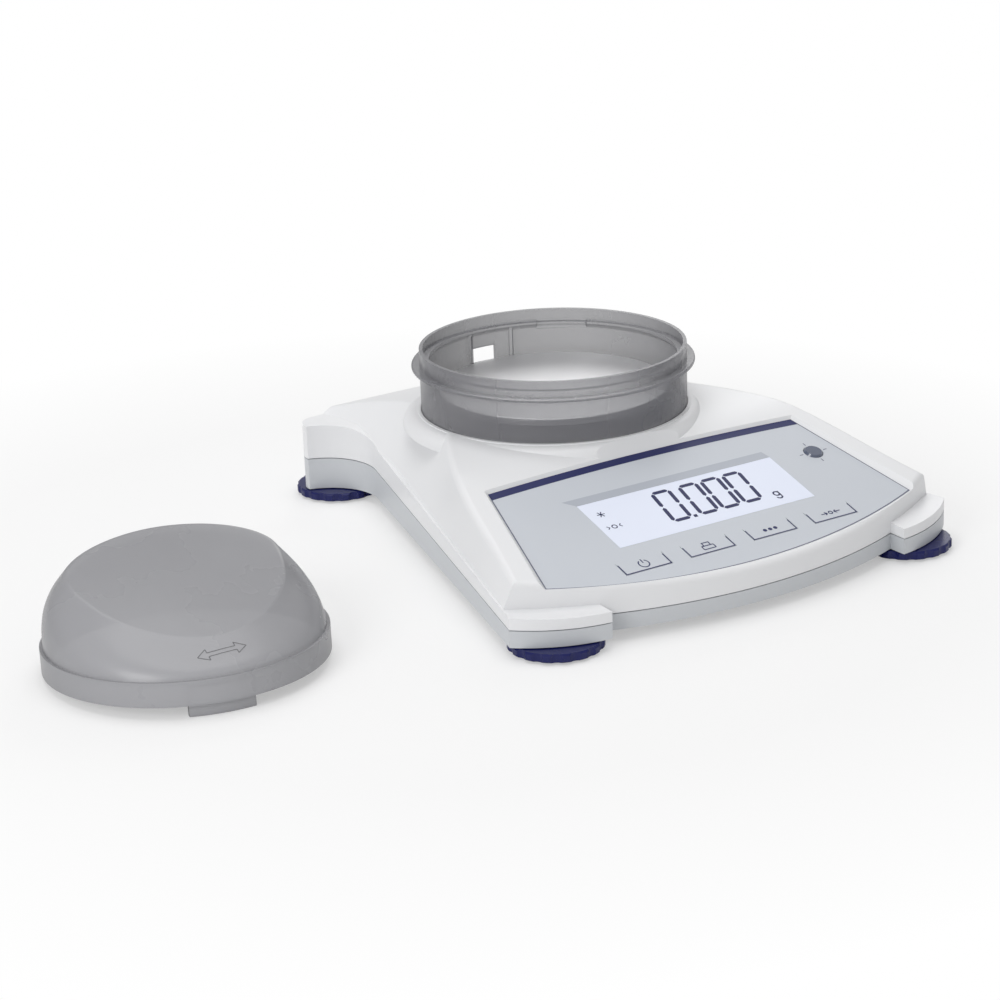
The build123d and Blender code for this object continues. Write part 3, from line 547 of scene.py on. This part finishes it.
# Pan: pressed stainless steel with a fine turned grain, on a cast support
# with four black rubber bumpers. The cell below and its plates are aluminium.
line_scale = 60
line_detail = 6
line_depth = 0.00001
line_strength = 0.3
smooth_share = 0.8
rough_share = 1.3
dark_share = 0.9


def metal(name, colour, roughness, stretch_scale):
    """A metal with fine turned or brushed lines."""
    material = bpy.data.materials.new(name)
    material.use_nodes = True
    nodes = material.node_tree.nodes
    links = material.node_tree.links
    shader = nodes["Principled BSDF"]
    place = nodes.new("ShaderNodeTexCoord")
    stretch = nodes.new("ShaderNodeMapping")
    stretch.inputs["Scale"].default_value = stretch_scale
    lines = nodes.new("ShaderNodeTexNoise")
    lines.inputs["Scale"].default_value = line_scale
    lines.inputs["Detail"].default_value = line_detail
    rough = nodes.new("ShaderNodeMapRange")
    rough.inputs["To Min"].default_value = roughness * smooth_share
    rough.inputs["To Max"].default_value = roughness * rough_share
    tint = nodes.new("ShaderNodeMix")
    tint.data_type = "RGBA"
    tint.inputs["A"].default_value = (*[part * dark_share for part in colour], 1)
    tint.inputs["B"].default_value = (*colour, 1)
    bump = nodes.new("ShaderNodeBump")
    bump.inputs["Distance"].default_value = line_depth
    bump.inputs["Strength"].default_value = line_strength
    shader.inputs["Metallic"].default_value = 1
    for source, target in (
        (place.outputs["Object"], stretch.inputs["Vector"]),
        (stretch.outputs["Vector"], lines.inputs["Vector"]),
        (lines.outputs["Fac"], rough.inputs["Value"]),
        (rough.outputs["Result"], shader.inputs["Roughness"]),
        (lines.outputs["Fac"], tint.inputs["Factor"]),
        (tint.outputs["Result"], shader.inputs["Base Color"]),
        (lines.outputs["Fac"], bump.inputs["Height"]),
        (bump.outputs["Normal"], shader.inputs["Normal"]),
    ):
        links.new(source, target)
    return material


pan_steel = metal("pan_steel", (0.78, 0.78, 0.79), 0.34, (2, 60, 2))
cast = metal("cast_aluminium", (0.62, 0.63, 0.65), 0.45, (8, 8, 8))
plated = metal("plated_steel", (0.60, 0.61, 0.62), 0.30, (6, 6, 40))
brass = metal("insert_brass", (0.70, 0.50, 0.22), 0.35, (6, 6, 40))
black_rubber = moulded("black_rubber", (0.02, 0.02, 0.022), 0.65, 0.2, 0.8)
dress("weighing_pan", pan_steel)
dress("pan_bumpers", black_rubber)
for node in ("pan_support", "load_cell", "cell_chassis", "cell_spacer"):
    dress(node, cast)

# Inner pieces: circuit boards, switches, sockets, batteries and screws, all
# bought in, fixed inside the covers and mostly out of sight in use.
board_green = moulded("board_green", (0.02, 0.16, 0.07), 0.4, 0.1, 0.3)
black = moulded("black_moulding", (0.02, 0.02, 0.022), 0.4, 0.1, 0.3)
wrap = moulded("cell_wrap", (0.05, 0.06, 0.08), 0.3, 0.1, 0.1)
diffuser = moulded("diffuser", (0.85, 0.86, 0.88), 0.4, 0.02, 0.1)
for node in ("display_board", "main_board"):
    dress(node, board_green)
for node in ("key_switches", "power_jack", "level_holder"):
    dress(node, black)
for node in ("lcd_module", "backlight"):
    dress(node, diffuser)
for node in (
    "cell_screws",
    "overload_stops",
    "board_screws",
    "housing_screws",
    "battery_contacts",
    "interface_port",
):
    dress(node, plated)
dress("batteries", wrap)

# Levelling feet: glossy indigo thumb wheels with shallow flutes, each on a
# plated stud in a brass insert, with a black rubber pad beneath.
indigo_colour = (0.007, 0.010, 0.095)
indigo = moulded("indigo_plastic", indigo_colour, 0.22, 0.12, 0.1, Specular_IOR_Level=0.35)
for name in feet:
    dress("foot_wheel_" + name, indigo)
    dress("foot_pad_" + name, black_rubber)
    dress("foot_stud_" + name, plated)
    dress("foot_insert_" + name, brass)

# Floor: a broad sheet of white paper that keeps the balance's shadow and,
# seen by the camera, fades into plain white away from it.
floor_reach = 6
fade_start = 0.20
fade_end = 0.34
least_white = 0.4
floor_mesh = bpy.data.meshes.new("floor")
floor_corners = [
    (-floor_reach, -floor_reach, 0),
    (floor_reach, -floor_reach, 0),
    (floor_reach, floor_reach, 0),
    (-floor_reach, floor_reach, 0),
]
floor_mesh.from_pydata(floor_corners, [], [(0, 1, 2, 3)])
floor = bpy.data.objects.new("floor", floor_mesh)
scene.collection.objects.link(floor)
floor_white = bpy.data.materials.new("floor_white")
floor_white.use_nodes = True
floor_nodes = floor_white.node_tree.nodes
floor_links = floor_white.node_tree.links
floor_shader = floor_nodes["Principled BSDF"]
floor_shader.inputs["Base Color"].default_value = (0.93, 0.93, 0.93, 1)
floor_shader.inputs["Roughness"].default_value = 0.9
glow = floor_nodes.new("ShaderNodeEmission")
glow.inputs["Strength"].default_value = 1
where = floor_nodes.new("ShaderNodeNewGeometry")
distance = floor_nodes.new("ShaderNodeVectorMath")
distance.operation = "LENGTH"
fade = floor_nodes.new("ShaderNodeMapRange")
fade.inputs["From Min"].default_value = fade_start
fade.inputs["From Max"].default_value = fade_end
fade.inputs["To Min"].default_value = least_white
rays = floor_nodes.new("ShaderNodeLightPath")
seen = floor_nodes.new("ShaderNodeMath")
seen.operation = "MAXIMUM"
whiteness = floor_nodes.new("ShaderNodeMath")
whiteness.operation = "MULTIPLY"
blend = floor_nodes.new("ShaderNodeMixShader")
for source, target in (
    (where.outputs["Position"], distance.inputs[0]),
    (distance.outputs["Value"], fade.inputs["Value"]),
    (rays.outputs["Is Camera Ray"], seen.inputs[0]),
    (rays.outputs["Is Transmission Ray"], seen.inputs[1]),
    (fade.outputs["Result"], whiteness.inputs[0]),
    (seen.outputs[0], whiteness.inputs[1]),
    (whiteness.outputs[0], blend.inputs["Fac"]),
    (floor_shader.outputs["BSDF"], blend.inputs[1]),
    (glow.outputs["Emission"], blend.inputs[2]),
    (blend.outputs["Shader"], floor_nodes["Material Output"].inputs["Surface"]),
):
    floor_links.new(source, target)
floor_mesh.materials.append(floor_white)

# Light: an even white room, a broad soft lamp overhead, a gentler one from
# the left front and a faint one behind at the right.
lamp_aim = Vector((0.03, 0, 0.02))
world = bpy.data.worlds.new("studio")
scene.world = world
world.use_nodes = True
world_nodes = world.node_tree.nodes
world_links = world.node_tree.links
ambient = world_nodes["Background"]
ambient.inputs["Color"].default_value = (1, 1, 1, 1)
ambient.inputs["Strength"].default_value = 0.48
backdrop = world_nodes.new("ShaderNodeBackground")
backdrop.inputs["Strength"].default_value = 1
world_rays = world_nodes.new("ShaderNodeLightPath")
world_seen = world_nodes.new("ShaderNodeMath")
world_seen.operation = "MAXIMUM"
world_mix = world_nodes.new("ShaderNodeMixShader")
for source, target in (
    (world_rays.outputs["Is Camera Ray"], world_seen.inputs[0]),
    (world_rays.outputs["Is Transmission Ray"], world_seen.inputs[1]),
    (world_seen.outputs[0], world_mix.inputs["Fac"]),
    (ambient.outputs["Background"], world_mix.inputs[1]),
    (backdrop.outputs["Background"], world_mix.inputs[2]),
    (world_mix.outputs["Shader"], world_nodes["World Output"].inputs["Surface"]),
):
    world_links.new(source, target)
for name, at, size, power in (
    ("overhead", (0.0, 0.15, 1.3), 1.2, 6.5),
    ("left_front", (-1.2, -0.5, 0.7), 0.7, 6.0),
    ("right_rear", (0.9, 0.9, 0.7), 0.7, 2.0),
):
    lamp_data = bpy.data.lights.new(name, "AREA")
    lamp_data.shape = "DISK"
    lamp_data.size = size
    lamp_data.energy = power
    lamp = bpy.data.objects.new(name, lamp_data)
    lamp.location = at
    aim = lamp_aim - Vector(at)
    lamp.rotation_euler = aim.to_track_quat("-Z", "Y").to_euler()
    scene.collection.objects.link(lamp)
scene.view_settings.view_transform = "Standard"
